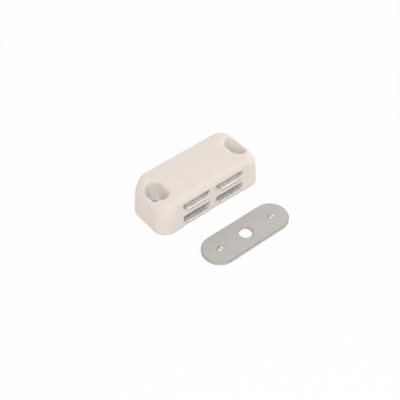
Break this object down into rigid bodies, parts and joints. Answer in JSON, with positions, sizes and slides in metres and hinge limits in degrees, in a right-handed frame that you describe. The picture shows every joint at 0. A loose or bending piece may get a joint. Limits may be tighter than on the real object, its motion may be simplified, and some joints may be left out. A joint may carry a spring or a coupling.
{
  "type": "magnetic cupboard catch",
  "caption": "Magnetic cupboard catch: a rounded white housing with slotted screw pockets and a floating magnet pack behind four windows, and a flat steel strike plate.",
  "frame": {"origin": "middle of the housing's base, on the plane that is screwed to the cupboard", "axes": "+X along the housing, +Y towards its back, +Z away from the base; the pole tongues and the strike plate are on the -Y side"},
  "size_m": [0.046, 0.0423, 0.0141],
  "materials": {
    "housing_plastic": "moulded, soft sheen",
    "pole_steel": "zinc plated",
    "ferrite": "ground ferrite",
    "strike_steel": "nickel plated"
  },
  "bodies": {
    "housing": {"housing": "housing_plastic", "strike_plate": "strike_steel"},
    "magnet_pack": {"upper_pole_plate": "pole_steel", "lower_pole_plate": "pole_steel", "magnet": "ferrite"}
  },
  "joints": [
    {"name": "pack_float", "type": "slide", "parent": "housing", "child": "magnet_pack", "axis": [0, 0, 1], "range_m": [0, 0.0018]}
  ]
}
